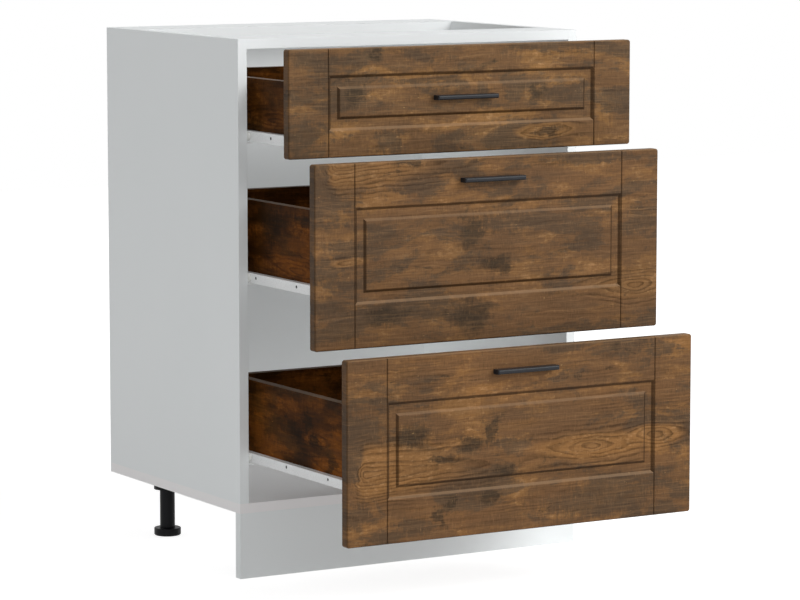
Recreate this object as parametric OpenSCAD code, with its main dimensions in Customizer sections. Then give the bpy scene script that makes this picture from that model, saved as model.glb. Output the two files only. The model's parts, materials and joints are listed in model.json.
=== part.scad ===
// Kitchen base cabinet with three drawers on roller runners
// X runs to the right, Y to the back and Z up, as seen from the front. The origin is on the floor, below
// the middle of the whole box, with each drawer open by the amount given in the Drawers section.

/* [Carcass] */
// Width over the side panels
body_w = 600; // [400:1:1000]
// Height from the floor to the top edge of the side panels
body_h = 815; // [780:1:950]
// Depth of the carcass with its back panel, without the drawer fronts
body_d = 445; // [435:1:600]
// Thickness of the carcass boards and the drawer boards
board_t = 15; // [13:0.5:19]
// Thickness of the back panel
back_t = 3; // [2.5:0.5:8]
// Height of the plinth, and of the legs behind it
plinth_h = 100; // [80:1:130]
// Depth of the two flat boards that tie the side panels together at the top
stretcher_d = 90; // [60:1:110]
// Radius of the screw holes for the worktop in those boards
worktop_hole_r = 2.5; // [1.5:0.25:4]
// Distance from a side panel to the nearest worktop screw hole
worktop_hole_inset = 50; // [45:1:100]

/* [Fronts] */
// Thickness of the drawer fronts
front_t = 15; // [14:0.5:22]
// Height of the upper front
upper_front_h = 160; // [130:1:200]
// Part of the upper stretcher board that stays visible above the upper front
top_reveal = 9; // [2:0.5:14]
// Gap between two fronts
front_gap = 2; // [1.5:0.5:6]
// Distance from the side of a front to the outside of the carcass
front_inset = 1.5; // [0.5:0.5:5]
// Radius of the front's corners, seen from the front
corner_r = 4; // [3.5:0.5:8]
// Radius of the rounded edge round the front's face
edge_r = 2.5; // [0.5:0.5:3]
// Width of the frame's upright stiles
stile_w = 66.5; // [50:0.5:80]
// Height of the rails of the two deep fronts
deep_rail_h = 64; // [50:0.5:80]
// Height of the rails of the upper front
upper_rail_h = 38.5; // [20:0.5:50]
// Depth of the sunk band between the frame and the raised field
relief_d = 3; // [1:0.25:5]
// Width of the bevel from the frame down to the sunk band
outer_bevel_w = 5; // [1:0.5:8]
// Width of the flat sunk band along the stiles
band_w = 10.4; // [3:0.1:15]
// Width of the flat sunk band along the rails
rail_band_w = 12.3; // [3:0.1:15]
// Width of the bevel from the sunk band up to the raised field
inner_bevel_w = 4.6; // [1:0.2:8]
// Width of the V groove between a stile and its rails
groove_w = 2.6; // [1:0.2:5]

/* [Handles] */
// Distance between the two screws of a handle
handle_pitch = 96; // [64:1:192]
// Width of a handle's leg
handle_leg_w = 10; // [8:0.5:14]
// Height of a handle's bar and legs
handle_h = 7; // [6.5:0.5:14]
// Thickness of a handle's bar, front to back
handle_bar_t = 5; // [4:0.5:9]
// Distance from the front's face to the front of the bar
handle_reach = 14.5; // [13:0.5:40]
// Thickness of the top that closes the gap behind the bar
handle_top_t = 2; // [1.5:0.5:3]
// Distance from the top of a deep front down to the middle of its handle
deep_handle_drop = 32; // [20:0.5:60]
// Distance from the top of the upper front down to the middle of its handle
upper_handle_drop = 77; // [60:0.5:90]

/* [Drawers] */
// How far the upper drawer stands open
upper_open = 139; // [0.5:0.5:300]
// How far the middle drawer stands open
middle_open = 216; // [0.5:0.5:300]
// How far the lower drawer stands open
lower_open = 309; // [0.5:0.5:310]
// How far a drawer opens at most
full_open = 312; // [310:1:320]
// Height of the sides of the upper drawer
upper_side_h = 94; // [84:1:110]
// Height of the sides of the two deep drawers
deep_side_h = 124; // [100:1:180]
// Height of the upper drawer's runners above the lower edge of its front
upper_lift = 15; // [10:1:30]
// Height of a deep drawer's runners above the lower edge of its front
deep_lift = 75; // [50:1:80]
// Thickness of the drawer bottoms
bottom_t = 3; // [2.5:0.5:5]
// Distance from a drawer side's lower edge up to its bottom
bottom_rise = 10; // [8:0.5:12]
// Depth of the grooves that hold a drawer bottom
slot_d = 5; // [3:0.5:7]

/* [Runners] */
// Length of the runners and of the drawer sides
runner_len = 400; // [380:1:420]
// Space between a side panel and a drawer side, which a pair of runner profiles fills
runner_gap = 12.5; // [12:0.25:14]
// Thickness of the runners' sheet steel
sheet_t = 1.2; // [0.8:0.1:1.5]
// Height of the drawer profile's upright web
web_h = 17; // [16.5:0.5:24]
// Width of the flange under a drawer side
shelf_w = 13; // [8:0.5:13]
// Radius of the nylon rollers
roller_r = 7; // [6:0.1:7.5]
// Width of the nylon rollers
roller_w = 6.5; // [5:0.25:7]
// Radius of the pins that the rollers turn on
roller_pin_r = 2.5; // [2:0.25:3]
// Distance from the front of the carcass to the middle of its rollers
front_roller_y = 14; // [12:0.5:20]
// Distance from the rear end of a drawer to the middle of its rollers
rear_roller_y = 12; // [11:0.5:20]
// Distance from the front of a drawer to the first hole in its profiles
hole_first_y = 86; // [40:1:110]
// Distance between two holes in a drawer profile
hole_pitch = 126; // [64:1:128]

/* [Legs] */
// Distance from the outside of the carcass to the middle of a leg
leg_inset_x = 70; // [50:1:100]
// Distance from the front or back of the carcass to the middle of a leg
leg_inset_y = 62; // [50:1:90]
// Radius of a leg's tube
leg_r = 12; // [11:0.5:14]
// Radius of the foot at its lower end
foot_r = 21.5; // [18:0.5:28]
// Height of the foot
foot_h = 12; // [8:0.5:20]
// Radius of the collar that holds the tube
collar_r = 21.5; // [20:0.5:26]
// Height of the collar, with its screw flange
collar_h = 25; // [15:0.5:35]
// Radius of the collar's screw flange
flange_r = 31; // [29:0.5:36]

/* [Hidden] */
$fn = 48;

// Drawer numbers and sides
UPPER = 0;
MIDDLE = 1;
LOWER = 2;
LEFT = -1;
RIGHT = 1;

// Colours
WHITE = "#eceeee";
OAK = "#6f5138";
DARK_OAK = "#4f3520";
BLACK = "#26272a";
STEEL = "#b9bcbf";
NYLON = "#f4f4f0";

// Small clearances and overlaps
cut = 1;               // how far a cutting shape reaches past a face
turn_play = 0.05;      // radial play of a turning piece on its pin
roll_play = 0.3;       // gap between a roller and the steel that it rolls on
slide_gap = 0.8;       // gap between the two steel profiles of a runner
closed_gap = 0.5;      // gap between a closed front and the carcass
slot_play = 0.2;       // a bottom board in its groove
screw_play = 0.05;     // radial play of a screw in its hole
disc_play = 0.1;       // radial play of a cam disc in its pocket
tube_play = 0.05;      // radial play of a leg's tube in its collar and clip
depth_play = 0.5;      // how much deeper a blind hole is than what goes in it

// Carcass
carcass_d = body_d - back_t;
inner_w = body_w - 2 * board_t;
side_z = plinth_h + board_t;
stretcher_z = body_h - board_t;
front_w = body_w - 2 * front_inset;
deep_front_h = (body_h - plinth_h - top_reveal - upper_front_h - 2 * front_gap) / 2;

// Drawers, one value each for the upper, middle and lower drawer
open_y = [upper_open, middle_open, lower_open];
front_h = [upper_front_h, deep_front_h, deep_front_h];
rail_h = [upper_rail_h, deep_rail_h, deep_rail_h];
front_z = [
  plinth_h + 2 * (deep_front_h + front_gap),
  plinth_h + deep_front_h + front_gap,
  plinth_h
];
handle_drop = [upper_handle_drop, deep_handle_drop, deep_handle_drop];
side_h = [upper_side_h, deep_side_h, deep_side_h];
runner_z = [front_z[UPPER] + upper_lift, front_z[MIDDLE] + deep_lift, front_z[LOWER] + deep_lift];
box_w = inner_w - 2 * runner_gap;
box_inner_w = box_w - 2 * board_t;
function box_z(i) = runner_z[i] + sheet_t;
function handle_z(i) = front_z[i] + front_h[i] - handle_drop[i];

// Handle
handle_w = handle_pitch + handle_leg_w;
handle_outer_r = 2.5;
handle_inner_r = 2;
handle_edge_r = 2.5;                                 // rounds the bar's upper and lower front edges
handle_hole_r = 2;
handle_hole_d = 10;
handle_screw_play = 0.25;                            // radial play of a handle screw in the front
handle_screw_head_r = 4;
handle_screw_head_t = 2.6;

// Runner section: x from the side panel inwards, z from the foot of the drawer profile's web
web_x = runner_gap - sheet_t;
flange_x = 2.5;                                      // outer edge of the drawer profile's running flange
running_z = web_h - sheet_t;                         // underside of the running flange
track_top = running_z - slide_gap - sheet_t;         // underside of the cabinet profile's upper flange
track_h = 2 * (roller_r + roll_play);
track_bottom = track_top - track_h;
track_w = web_x - 1;
rear_roller_z = track_bottom + roll_play + roller_r;
front_roller_z = running_z - roll_play - roller_r;
roller_x = track_w - roller_w - 0.6;                 // side of the roller next to the side panel
pin_head_r = 4;
pin_head_t = 0.7;
profile_y = 2;                                       // front end of a cabinet profile
upper_flange_y = front_roller_y + roller_r + 7;      // the upper flange starts behind the roller
stop_h = 4.5;
stop_gap = 0.4;                                      // between the open drawer's roller and the stop tab
stop_y = runner_len - rear_roller_y - full_open - roller_r - stop_gap - sheet_t;
profile_hole_first_y = 37;
profile_hole_pitch = 160;
profile_hole_y = [for (n = [0:2]) profile_hole_first_y + n * profile_hole_pitch];
web_hole_r = 2.4;
shelf_hole_r = 1.8;
shelf_hole_y = [45, runner_len / 2 + 20, runner_len - 50];
shoulder_r = roller_pin_r + 1;
end_play = 0.3;                                      // a roller between its shoulder and its rivet head

// Screws and cam fittings
screw_r = 2.5;
screw_len = 48;
screw_head_r = 4.5;
screw_head_t = 2;
panel_screw_r = 2;
panel_screw_len = 11;
panel_screw_head_r = 3.6;
panel_screw_head_t = 0.6;
cam_r = 7.4;
cam_t = 12;
cam_reach = 24;                                      // from the joint to the middle of the cam disc
cam_bolt_r = 2.5;
cam_bolt_head_r = 3.3;
cam_bolt_depth = 11;                                 // how deep its thread goes into the other board
cam_pocket_d = cam_t + depth_play;
cam_bore_r = cam_bolt_head_r + 0.3;
cam_slot_d = 1.5;
cam_slot_w = 1.2;

// Places of the fittings
base_screw_inset = 40;
cam_inset = 20;                                      // from the edges of a stretcher
side_cam_inset = 24;                                 // from the edges of a drawer side
back_screw_low_z = 32;                               // from a drawer side's lower edge
back_screw_high_inset = 20;                          // from a drawer side's upper edge

// Legs
leg_x = body_w / 2 - leg_inset_x;
leg_y = [leg_inset_y, body_d - leg_inset_y];
leg_wall = 2.5;
rib_t = 2;
flange_t = 3;
flange_hole_r = 2.2;
stem_r = 6;
bush_h = 12;                                         // length of the tube's guide for the stem
stem_reach = 15;                                     // how far the stem stands above that guide
foot_rim = 1.5;
tube_z = foot_h + depth_play;
tube_top = plinth_h - flange_t - 1;

// Plinth clips
clip_z = plinth_h / 2;
clip_h = 20;
clip_wall = 3;
clip_plate_w = 44;
clip_plate_h = 30;
clip_arm_x = 7.5;
clip_hole_x = 16;
clip_ring_r = leg_r + tube_play + clip_wall;

// The whole cabinet moves by this much, so that the origin lies below the middle of its box
part_shift = (max(open_y) + front_t + handle_reach - body_d) / 2;

module placed() {
  translate([0, part_shift, 0]) children();
}

// Places a drawer's piece: y = 0 is the rear face of its front
module in_drawer(i) {
  placed() translate([0, -open_y[i], 0]) children();
}

// Places a piece of a runner: x = 0 is the inner face of the left or right side panel
module on_side(side) {
  mirror([side == RIGHT ? 1 : 0, 0, 0]) translate([-inner_w / 2, 0, 0]) children();
}

// A cylinder along X, from x = 0
module rod_x(r, length) {
  rotate([0, 90, 0]) cylinder(r = r, h = length);
}

// A cylinder along Y, from y = 0
module rod_y(r, length) {
  rotate([-90, 0, 0]) cylinder(r = r, h = length);
}

// Screws for board joints

// A chipboard screw along -Z, with the outside of its head at z = 0
module board_screw() {
  translate([0, 0, -screw_head_t]) cylinder(r = screw_head_r - screw_play, h = screw_head_t);
  translate([0, 0, -screw_len]) cylinder(r = screw_r - screw_play, h = screw_len);
}

// The hole for that screw
module board_screw_hole() {
  translate([0, 0, -screw_head_t]) cylinder(r = screw_head_r, h = screw_head_t + cut);
  translate([0, 0, -screw_len - depth_play]) cylinder(r = screw_r, h = screw_len + depth_play);
}

// Cam fittings: the bolt stands on a board's face at z = 0 and the disc lies cam_reach above that face,
// with its flat face at y = board_t / 2

module cam_bolt() {
  translate([0, 0, -cam_bolt_depth]) cylinder(r = cam_bolt_r - screw_play, h = cam_bolt_depth + cam_reach);
  translate([0, 0, cam_reach - 2]) cylinder(r = cam_bolt_head_r, h = 2);
}

module cam_disc() {
  difference() {
    translate([0, board_t / 2 - cam_t, cam_reach]) rod_y(cam_r, cam_t);
    translate([-cam_bore_r, -cam_bore_r, cam_reach - cam_r - cut])
      cube([2 * cam_bore_r, 2 * cam_bore_r, cam_r + cut + screw_play]);
    // Cross slot for the screwdriver
    translate([-cam_r / 2, board_t / 2 - cam_slot_d, cam_reach - cam_slot_w / 2])
      cube([cam_r, cam_slot_d + cut, cam_slot_w]);
    translate([-cam_slot_w / 2, board_t / 2 - cam_slot_d, cam_reach - cam_r / 2])
      cube([cam_slot_w, cam_slot_d + cut, cam_r]);
  }
}

// The bolt's hole in the first board
module cam_bolt_hole() {
  translate([0, 0, -cam_bolt_depth - depth_play])
    cylinder(r = cam_bolt_r, h = cam_bolt_depth + depth_play + cut);
}

// The bore and the disc's pocket in the second board
module cam_pocket() {
  translate([0, 0, -cut]) cylinder(r = cam_bore_r, h = cam_reach + cut);
  translate([0, board_t / 2 - cam_pocket_d, cam_reach]) rod_y(cam_r + disc_play, cam_pocket_d + cut);
}

// Carcass boards

// Places the base panel's screws, which go up into the side panels' lower edges
module at_base_screws() {
  ys = [base_screw_inset, carcass_d / 2, carcass_d - base_screw_inset];
  for (x = [-1, 1] * (body_w - board_t) / 2, y = ys)
    translate([x, y, plinth_h]) mirror([0, 0, 1]) children();
}

// Places the cam fittings between the side panels and the stretchers
module at_stretcher_cams() {
  for (side = [LEFT, RIGHT], y = [0, carcass_d - stretcher_d], dy = [cam_inset, stretcher_d - cam_inset])
    on_side(side) translate([0, y + dy, stretcher_z + board_t / 2])
      rotate([0, 90, 0]) rotate([0, 0, -90]) children();
}

// Places the screws of the cabinet profiles
module at_profile_screws(side) {
  for (i = [UPPER, MIDDLE, LOWER], y = profile_hole_y)
    on_side(side) translate([0, y, runner_z[i] + rear_roller_z]) children();
}

module base_panel() {
  color(WHITE) placed() difference() {
    translate([-body_w / 2, 0, plinth_h]) cube([body_w, carcass_d, board_t]);
    at_base_screws() board_screw_hole();
  }
}

module side_panel(side) {
  color(WHITE) placed() difference() {
    on_side(side) translate([-board_t, 0, side_z]) cube([board_t, carcass_d, body_h - side_z]);
    at_base_screws() board_screw_hole();
    at_stretcher_cams() cam_bolt_hole();
    at_profile_screws(side) translate([-panel_screw_len, 0, 0]) rod_x(panel_screw_r, panel_screw_len + cut);
  }
}

module stretcher(y) {
  color(WHITE) placed() difference() {
    translate([-inner_w / 2, y, stretcher_z]) cube([inner_w, stretcher_d, board_t]);
    at_stretcher_cams() cam_pocket();
    for (x = [-1, 1] * (inner_w / 2 - worktop_hole_inset))
      translate([x, y + stretcher_d / 2, stretcher_z - cut])
        cylinder(r = worktop_hole_r, h = board_t + 2 * cut);
  }
}

module back_panel() {
  color(WHITE) placed()
    translate([-body_w / 2, carcass_d, plinth_h]) cube([body_w, back_t, body_h - plinth_h]);
}

module plinth_board() {
  color(WHITE) placed()
    translate([-body_w / 2, 0, 0]) cube([body_w, board_t, plinth_h]);
}

module base_screws() {
  color(STEEL) placed() at_base_screws() board_screw();
}

module carcass_cams() {
  color(STEEL) placed() at_stretcher_cams() {
    cam_bolt();
    cam_disc();
  }
}

// Legs and plinth clips

module at_legs(xs, ys) {
  for (x = xs, y = ys)
    translate([x, y, 0]) children();
}

// The collar is a ribbed cup below a round screw flange, with a sleeve that grips the tube
module leg_sockets() {
  color(BLACK) placed() at_legs([-leg_x, leg_x], leg_y) difference() {
    union() {
      translate([0, 0, plinth_h - flange_t]) cylinder(r = flange_r, h = flange_t);
      translate([0, 0, plinth_h - collar_h]) difference() {
        cylinder(r = collar_r, h = collar_h);
        translate([0, 0, -cut]) cylinder(r = collar_r - leg_wall, h = collar_h - flange_t + cut);
      }
      translate([0, 0, plinth_h - collar_h]) cylinder(r = leg_r + leg_wall, h = collar_h);
      for (a = [0:60:300])
        rotate(a) translate([leg_r + 1, -rib_t / 2, plinth_h - collar_h])
          cube([collar_r - leg_r - 2, rib_t, collar_h]);
    }
    translate([0, 0, plinth_h - collar_h - cut])
      cylinder(r = leg_r + tube_play, h = tube_top - plinth_h + collar_h + cut);
    for (a = [45:90:315])
      rotate(a) translate([(collar_r + flange_r) / 2, 0, plinth_h - flange_t - cut])
        cylinder(r = flange_hole_r, h = flange_t + 2 * cut);
  }
}

module leg_tubes() {
  color(BLACK) placed() at_legs([-leg_x, leg_x], leg_y) difference() {
    translate([0, 0, tube_z]) cylinder(r = leg_r, h = tube_top - tube_z);
    translate([0, 0, tube_z - cut]) cylinder(r = stem_r + turn_play, h = bush_h + 2 * cut);
    translate([0, 0, tube_z + bush_h]) cylinder(r = leg_r - leg_wall, h = tube_top);
  }
}

// The foot is a disc with a chamfered rim, on the stem that screws up into the tube
module foot(x, y) {
  stem_top = tube_z + bush_h + stem_reach;
  color(BLACK) placed() translate([x, y, 0]) rotate_extrude() polygon([
    [0, 0],
    [foot_r - foot_rim, 0],
    [foot_r, foot_rim],
    [foot_r, foot_h - foot_rim / 2],
    [foot_r - foot_rim / 2, foot_h],
    [stem_r, foot_h],
    [stem_r, stem_top],
    [0, stem_top]
  ]);
}

// A clip screwed to the rear of the plinth board, with a ring that snaps round a front leg
module plinth_clips() {
  plate_y = board_t - leg_inset_y;
  arm_y = plate_y + clip_wall;
  color(BLACK) placed() at_legs([-leg_x, leg_x], [leg_inset_y]) translate([0, 0, clip_z]) {
    difference() {
      translate([-clip_plate_w / 2, plate_y, -clip_plate_h / 2])
        cube([clip_plate_w, clip_wall, clip_plate_h]);
      for (x = [-clip_hole_x, clip_hole_x])
        translate([x, plate_y - cut, 0]) rod_y(flange_hole_r, clip_wall + 2 * cut);
    }
    for (x = [-clip_arm_x, clip_arm_x])
      translate([x - clip_wall / 2, arm_y, -clip_h / 2])
        cube([clip_wall, clip_wall - clip_ring_r - arm_y, clip_h]);
    translate([0, 0, -clip_h / 2]) difference() {
      cylinder(r = clip_ring_r, h = clip_h);
      translate([0, 0, -cut]) cylinder(r = leg_r + tube_play, h = clip_h + 2 * cut);
      // The mouth of the ring opens to the rear
      translate([-leg_r * 0.8, leg_r * 0.45, -cut]) cube([leg_r * 1.6, clip_ring_r, clip_h + 2 * cut]);
    }
  }
}

// Runners

// A nylon roller with its rim standing proud of the hub, along X from x = 0
module roller() {
  rim = 1.8;
  dish = 0.6;
  bore = roller_pin_r + turn_play;
  rotate([0, 90, 0]) rotate_extrude() polygon([
    [bore, 0],
    [bore + rim, 0],
    [bore + rim, dish],
    [roller_r - rim, dish],
    [roller_r - rim, 0],
    [roller_r - 0.4, 0],
    [roller_r, 0.4],
    [roller_r, roller_w - 0.4],
    [roller_r - 0.4, roller_w],
    [roller_r - rim, roller_w],
    [roller_r - rim, roller_w - dish],
    [bore + rim, roller_w - dish],
    [bore + rim, roller_w],
    [bore, roller_w]
  ]);
}

// The cabinet profile is a channel, open to the drawer, with its roller's pin at the front end
module cabinet_profile(i, side) {
  rear_y = profile_y + runner_len;
  color(WHITE) placed() on_side(side) translate([0, 0, runner_z[i]]) {
    difference() {
      union() {
        translate([0, profile_y, track_bottom - sheet_t])
          cube([sheet_t, runner_len, track_h + 2 * sheet_t]);
        translate([0, profile_y, track_bottom - sheet_t]) cube([track_w, runner_len, sheet_t]);
        translate([0, upper_flange_y, track_top]) cube([track_w, rear_y - upper_flange_y, sheet_t]);
        // The roller of the drawer stops against this tab
        translate([0, stop_y, track_top - stop_h]) cube([track_w, sheet_t, stop_h]);
      }
      for (y = profile_hole_y)
        translate([-cut, y, rear_roller_z]) rod_x(panel_screw_r + screw_play, sheet_t + 2 * cut);
    }
    translate([0, front_roller_y, front_roller_z]) {
      rod_x(shoulder_r, roller_x - end_play);
      rod_x(roller_pin_r, roller_x + roller_w + end_play);
      translate([roller_x + roller_w + end_play, 0, 0]) rod_x(pin_head_r, pin_head_t);
    }
  }
}

module cabinet_rollers(i) {
  color(NYLON) placed() for (side = [LEFT, RIGHT])
    on_side(side) translate([roller_x, front_roller_y, runner_z[i] + front_roller_z]) roller();
}

module cabinet_profile_screws() {
  color(STEEL) placed() for (side = [LEFT, RIGHT])
    at_profile_screws(side) {
      translate([depth_play - panel_screw_len, 0, 0])
        rod_x(panel_screw_r - screw_play, panel_screw_len - depth_play + sheet_t);
      translate([sheet_t, 0, 0]) rod_x(panel_screw_head_r, panel_screw_head_t);
    }
}

// The drawer profile: a web beside the drawer side, a shelf below it and a running flange at the top
module drawer_profile(i, side) {
  shoulder_x = roller_x + roller_w + end_play;
  length = runner_len - closed_gap;
  color(WHITE) in_drawer(i) on_side(side) translate([0, 0, runner_z[i]]) {
    difference() {
      translate([0, closed_gap, 0]) {
        translate([web_x, 0, 0]) cube([sheet_t, length, web_h]);
        translate([web_x, 0, 0]) cube([sheet_t + shelf_w, length, sheet_t]);
        translate([flange_x, 0, running_z]) cube([web_x - flange_x + sheet_t, length, sheet_t]);
      }
      for (n = [0:2])
        translate([web_x - cut, hole_first_y + n * hole_pitch, web_h / 2])
          rod_x(web_hole_r, sheet_t + 2 * cut);
      for (y = shelf_hole_y)
        translate([web_x + sheet_t + shelf_w / 2, y, -cut])
          cylinder(r = shelf_hole_r, h = sheet_t + 2 * cut);
    }
    translate([0, runner_len - rear_roller_y, rear_roller_z]) {
      translate([shoulder_x, 0, 0]) rod_x(shoulder_r, web_x - shoulder_x);
      translate([roller_x - end_play, 0, 0]) rod_x(roller_pin_r, web_x - roller_x + end_play);
      translate([roller_x - end_play - pin_head_t, 0, 0]) rod_x(pin_head_r, pin_head_t);
    }
  }
}

module drawer_rollers(i) {
  color(NYLON) in_drawer(i) for (side = [LEFT, RIGHT])
    on_side(side) translate([roller_x, runner_len - rear_roller_y, runner_z[i] + rear_roller_z]) roller();
}

// Drawer fronts

// Section through the rim of a front: corner_r wide, with the face's edge rounded
module rim_section() {
  square([corner_r, front_t - edge_r]);
  square([corner_r - edge_r, front_t]);
  intersection() {
    translate([corner_r - edge_r, front_t - edge_r]) circle(edge_r);
    square([corner_r, front_t]);
  }
}

// A plate with rounded corners and a rounded face edge, lying on z = 0 with its lower edge at y = 0
module rounded_plate(h) {
  x = front_w / 2 - corner_r;
  straight_h = h - 2 * corner_r;
  translate([-x, corner_r, 0]) cube([2 * x, straight_h, front_t]);
  for (corner = [[x, h - corner_r, 0], [-x, h - corner_r, 90], [-x, corner_r, 180], [x, corner_r, 270]])
    translate([corner.x, corner.y, 0]) rotate(corner.z) rotate_extrude(angle = 90) rim_section();
  for (edge = [[x, h - corner_r, 0, straight_h], [-x, corner_r, 180, straight_h],
               [-x, h - corner_r, 90, 2 * x], [x, corner_r, 270, 2 * x]])
    translate([edge[0], edge[1], 0]) rotate(edge[2]) rotate([90, 0, 0])
      linear_extrude(edge[3]) rim_section();
}

// A flat-sided block from z = 0, centred, which grows by grow on each side up to its height d
module tapered_block(w, h, grow, d) {
  polyhedron(
    points = [for (z = [0, 1], p = [[-1, -1], [1, -1], [1, 1], [-1, 1]])
      [p.x * (w / 2 + z * grow), p.y * (h / 2 + z * grow), z * d]],
    faces = [[0, 1, 2, 3], [7, 6, 5, 4], [1, 0, 4, 5], [2, 1, 5, 6], [3, 2, 6, 7], [0, 3, 7, 4]]
  );
}

// The sunk band with its two bevels, below z = 0 and centred on the front
module relief_cut(h, rail) {
  w = front_w - 2 * stile_w - 2 * outer_bevel_w;
  field_h = h - 2 * rail - 2 * outer_bevel_w;
  reach = (relief_d + cut) / relief_d;
  translate([0, h / 2, -relief_d]) difference() {
    tapered_block(w, field_h, outer_bevel_w * reach, relief_d + cut);
    translate([0, 0, -cut]) tapered_block(
      w - 2 * band_w + 2 * inner_bevel_w * cut / relief_d,
      field_h - 2 * rail_band_w + 2 * inner_bevel_w * cut / relief_d,
      -inner_bevel_w * (relief_d + 3 * cut) / relief_d,
      relief_d + 3 * cut
    );
  }
}

module drawer_front(i) {
  h = front_h[i];
  groove = groove_w / sqrt(2);
  slot_w = box_inner_w + 2 * slot_d;
  slot_z = box_z(i) + bottom_rise - slot_play / 2;
  color(OAK) in_drawer(i) difference() {
    translate([0, 0, front_z[i]]) rotate([90, 0, 0]) difference() {
      rounded_plate(h);
      translate([0, 0, front_t]) relief_cut(h, rail_h[i]);
      for (x = [-1, 1] * (front_w / 2 - stile_w))
        translate([x, -cut, front_t]) rotate([0, 45, 0]) translate([-groove / 2, 0, -groove / 2])
          cube([groove, h + 2 * cut, groove]);
    }
    // Groove for the drawer bottom
    translate([-slot_w / 2, -slot_d, slot_z]) cube([slot_w, slot_d + cut, bottom_t + slot_play]);
    at_front_cams(i) cam_bolt_hole();
    for (x = [-1, 1] * handle_pitch / 2)
      translate([x, -front_t - cut, handle_z(i)])
        rod_y(handle_hole_r + handle_screw_play, front_t + 2 * cut);
  }
}

// Handles

// Outline of the handle seen from above
module handle_outline() {
  r = handle_outer_r;
  translate([-handle_w / 2, -handle_reach + r]) square([handle_w, handle_reach - r]);
  translate([-handle_w / 2 + r, -handle_reach]) square([handle_w - 2 * r, handle_reach]);
  for (x = [-1, 1] * (handle_w / 2 - r))
    translate([x, -handle_reach + r]) circle(r);
}

// Outline of the gap between the bar and its two legs
module handle_gap() {
  r = handle_inner_r;
  gap_w = handle_w - 2 * handle_leg_w;
  gap_d = handle_reach - handle_bar_t;
  translate([-gap_w / 2, -gap_d + r]) square([gap_w, gap_d - r + cut]);
  translate([-gap_w / 2 + r, -gap_d]) square([gap_w - 2 * r, gap_d + cut]);
  for (x = [-1, 1] * (gap_w / 2 - r))
    translate([x, -gap_d + r]) circle(r);
}

// Section through the handle from front to back, with rounded front edges
module handle_section() {
  r = handle_edge_r;
  translate([-handle_reach + r, -handle_h / 2]) square([handle_reach - r, handle_h]);
  translate([-handle_reach, -handle_h / 2 + r]) square([handle_reach, handle_h - 2 * r]);
  for (z = [-1, 1] * (handle_h / 2 - r))
    translate([-handle_reach + r, z]) circle(r);
}

// A bar on two legs, closed at the top and open for the fingers from below
module handle(i) {
  color(BLACK) in_drawer(i) translate([0, -front_t, handle_z(i)]) difference() {
    intersection() {
      translate([0, 0, -handle_h / 2]) linear_extrude(handle_h) handle_outline();
      translate([-handle_w / 2 - cut, 0, 0]) rotate([90, 0, 90])
        linear_extrude(handle_w + 2 * cut) handle_section();
    }
    translate([0, 0, -handle_h / 2 - cut]) linear_extrude(handle_h - handle_top_t + cut) handle_gap();
    for (x = [-1, 1] * handle_pitch / 2)
      translate([x, -handle_hole_d, 0]) rod_y(handle_hole_r, handle_hole_d + cut);
  }
}

module handle_screws(i) {
  color(STEEL) in_drawer(i) for (x = [-1, 1] * handle_pitch / 2)
    translate([x, 0, handle_z(i)]) {
      translate([0, 1 - front_t - handle_hole_d, 0])
        rod_y(handle_hole_r - screw_play, front_t + handle_hole_d - 1);
      rod_y(handle_screw_head_r, handle_screw_head_t);
    }
}

// Drawer boxes

// Places the cam fittings between a drawer's front and its sides
module at_front_cams(i) {
  for (side = [LEFT, RIGHT], z = [side_cam_inset, side_h[i] - side_cam_inset])
    on_side(side) translate([runner_gap + board_t / 2, 0, box_z(i) + z])
      rotate([-90, 0, 0]) rotate([0, 0, -90]) children();
}

// Places the screws between a drawer's sides and its back
module at_back_screws(i) {
  for (side = [LEFT, RIGHT], z = [back_screw_low_z, side_h[i] - back_screw_high_inset])
    on_side(side) translate([runner_gap, runner_len - board_t / 2, box_z(i) + z])
      rotate([0, -90, 0]) children();
}

module drawer_side(i, side) {
  color(DARK_OAK) in_drawer(i) difference() {
    on_side(side) translate([runner_gap, 0, box_z(i)]) difference() {
      cube([board_t, runner_len, side_h[i]]);
      translate([board_t - slot_d, -cut, bottom_rise - slot_play / 2])
        cube([slot_d + cut, runner_len + 2 * cut, bottom_t + slot_play]);
    }
    at_front_cams(i) cam_pocket();
    at_back_screws(i) board_screw_hole();
  }
}

module drawer_back(i) {
  z = bottom_rise + bottom_t + slot_play / 2;
  color(DARK_OAK) in_drawer(i) difference() {
    translate([-box_inner_w / 2, runner_len - board_t, box_z(i) + z])
      cube([box_inner_w, board_t, side_h[i] - z]);
    at_back_screws(i) board_screw_hole();
  }
}

module drawer_bottom(i) {
  reach = slot_d - 2 * slot_play;
  w = box_inner_w + 2 * reach;
  color(DARK_OAK) in_drawer(i)
    translate([-w / 2, -reach, box_z(i) + bottom_rise]) cube([w, runner_len + reach, bottom_t]);
}

module drawer_fittings(i) {
  color(STEEL) in_drawer(i) {
    at_front_cams(i) {
      cam_bolt();
      cam_disc();
    }
    at_back_screws(i) board_screw();
  }
}

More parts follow.
